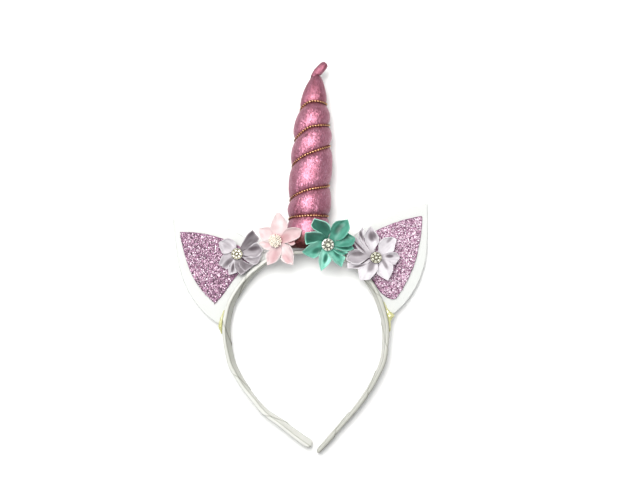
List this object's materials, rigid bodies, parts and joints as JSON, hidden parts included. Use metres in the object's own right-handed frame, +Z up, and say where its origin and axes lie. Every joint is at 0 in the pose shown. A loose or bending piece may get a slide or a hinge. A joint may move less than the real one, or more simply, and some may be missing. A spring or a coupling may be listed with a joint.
{
  "type": "unicorn horn headband",
  "caption": "Hair band with a stuffed spiral horn, glitter ears and satin ribbon flowers, lying on its back.",
  "frame": {"origin": "on the floor, in the middle of the outline seen from above", "axes": "+Z up from the floor to the side with the flowers, +Y from the tips of the arms to the crown and on along the horn, +X to the right"},
  "size_m": [0.1912, 0.2886, 0.0361],
  "materials": {
    "satin": "white satin ribbon, soft sheen",
    "foil": "metallic rose foil fabric, brushed and crinkled",
    "gold": "twisted metallic gold thread",
    "felt": "white craft felt, matt",
    "glitter": "foam sheet with coarse pink glitter",
    "lilac": "pale lilac satin ribbon",
    "pink": "pale pink satin ribbon",
    "teal": "sea green satin ribbon",
    "gem": "clear rhinestones in a pale setting",
    "stamen": "cream stamen heads, matt",
    "glue": "yellowed translucent glue"
  },
  "bodies": {
    "root": {"band": "satin", "horn": "foil", "horn_cord": "gold", "ear_left_felt": "felt", "ear_right_felt": "felt", "ear_left_glitter": "glitter", "ear_right_glitter": "glitter", "flower_lilac_left": "lilac", "flower_pink": "pink", "flower_teal": "teal", "flower_lilac_right": "lilac", "gem_lilac_left": "gem", "gem_teal": "gem", "gem_lilac_right": "gem", "stamens_pink": "stamen", "ear_glue_left": "glue", "ear_glue_right": "glue"}
  },
  "joints": []
}
